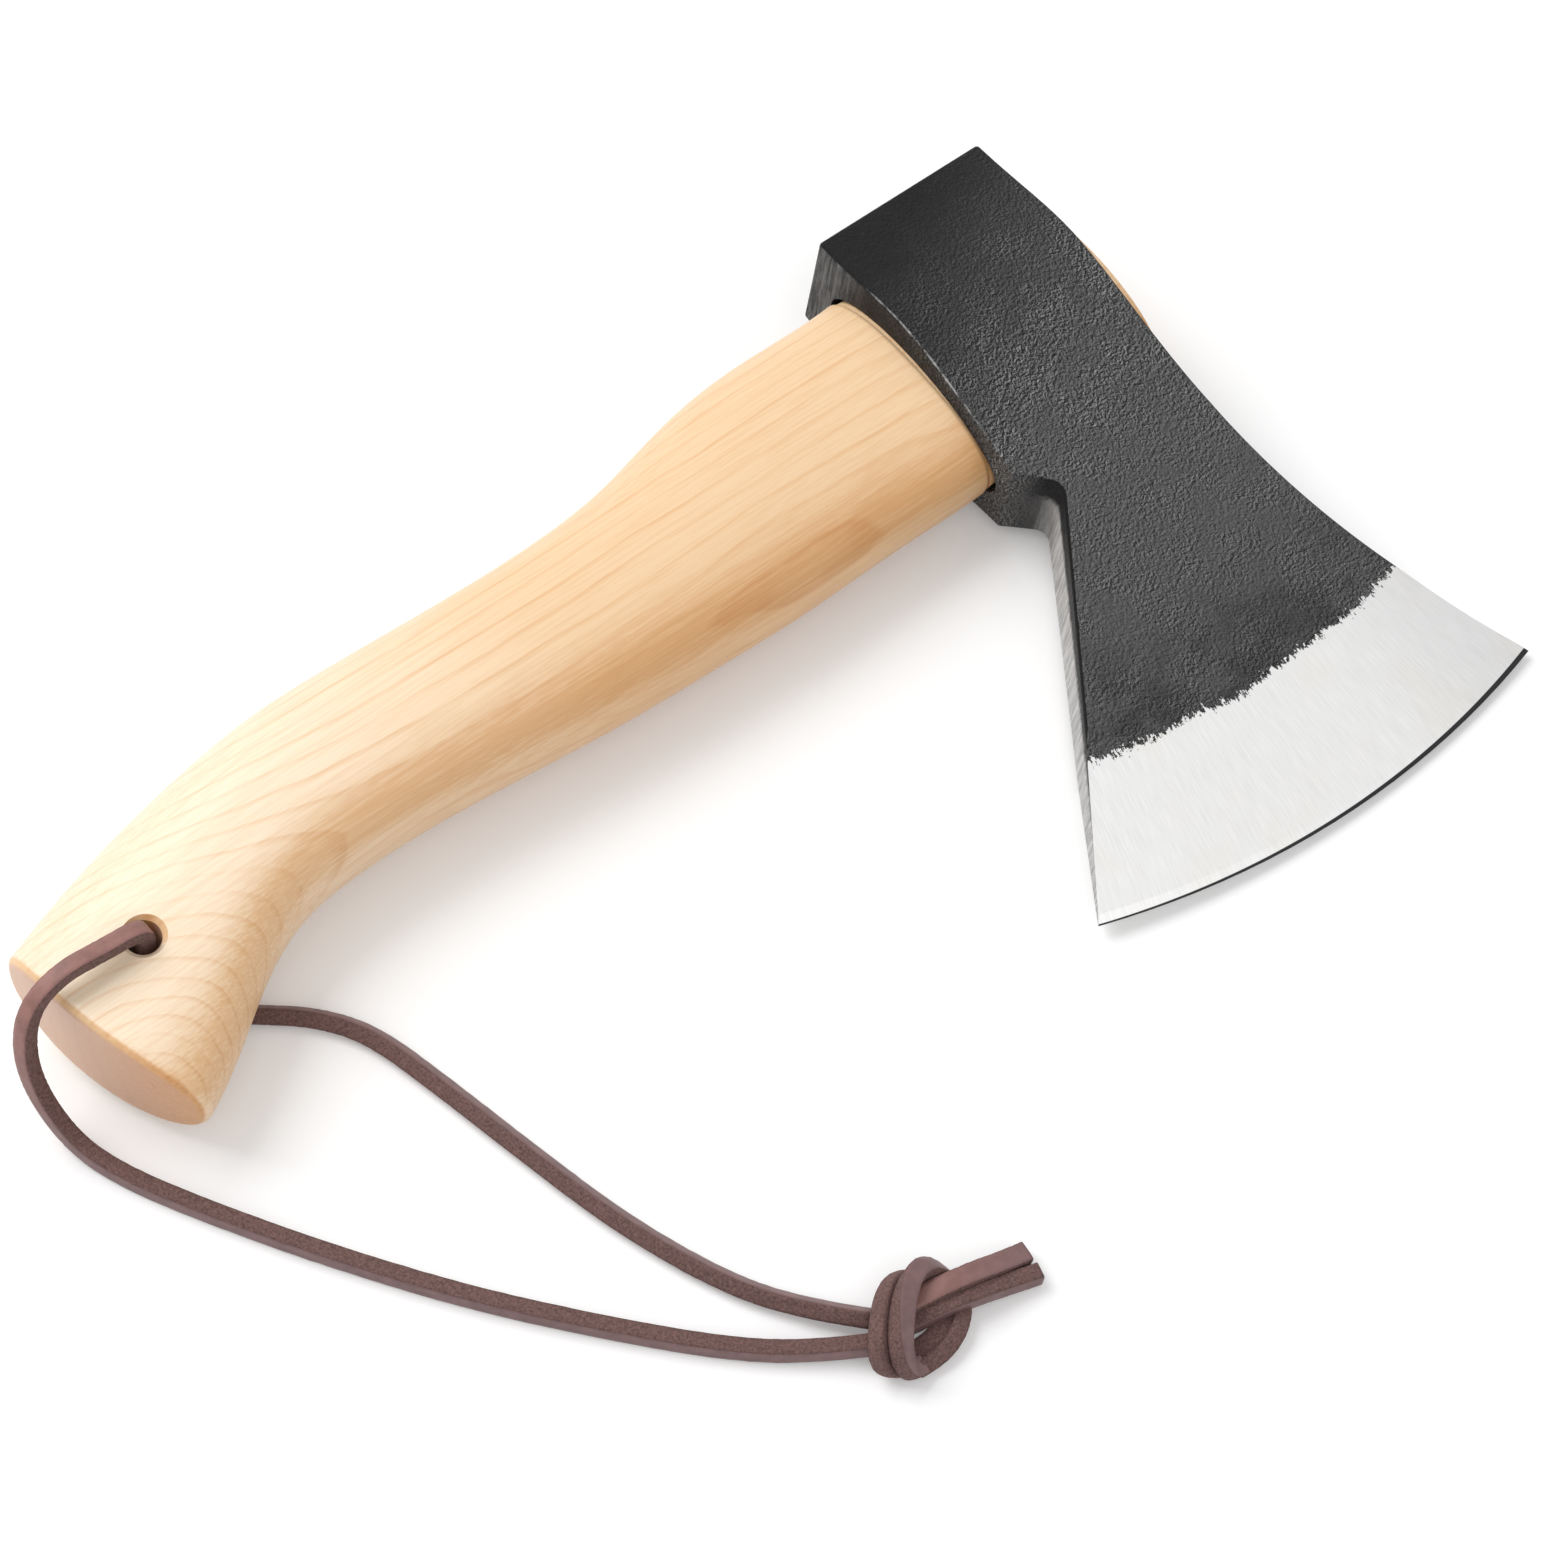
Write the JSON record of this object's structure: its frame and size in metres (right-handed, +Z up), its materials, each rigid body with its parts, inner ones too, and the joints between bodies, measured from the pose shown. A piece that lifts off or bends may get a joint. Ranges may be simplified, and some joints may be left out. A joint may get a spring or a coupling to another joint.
{
  "type": "hatchet",
  "caption": "Small forestry hatchet with a forged flared head wedged on a short curved ash handle, and a knotted leather wrist thong through the butt.",
  "frame": {"origin": "under the middle of the hatchet, without its thong, on the surface that it lies on", "axes": "+X along the handle from butt to head, +Y towards the poll, +Z up. The flat of the blade is 6.8 degrees off level, because the hatchet lies on its cheek, on the start of its bevel and on its thong."},
  "size_m": [0.2627, 0.1779, 0.0329],
  "materials": {
    "forged_steel": "black forged and painted, with a bright ground bit",
    "ash": "satin lacquer",
    "wedge_wood": "plain",
    "ring_steel": "plain turned steel",
    "thong_leather": "smooth grain side, rough cut sides"
  },
  "bodies": {
    "root": {"axe_head": "forged_steel", "handle": "ash", "eye_wedge": "wedge_wood", "ring_wedge": "ring_steel", "lanyard_front_strand": "thong_leather", "lanyard_rear_strand": "thong_leather", "lanyard_knot": "thong_leather", "lanyard_tails": "thong_leather"}
  },
  "joints": []
}
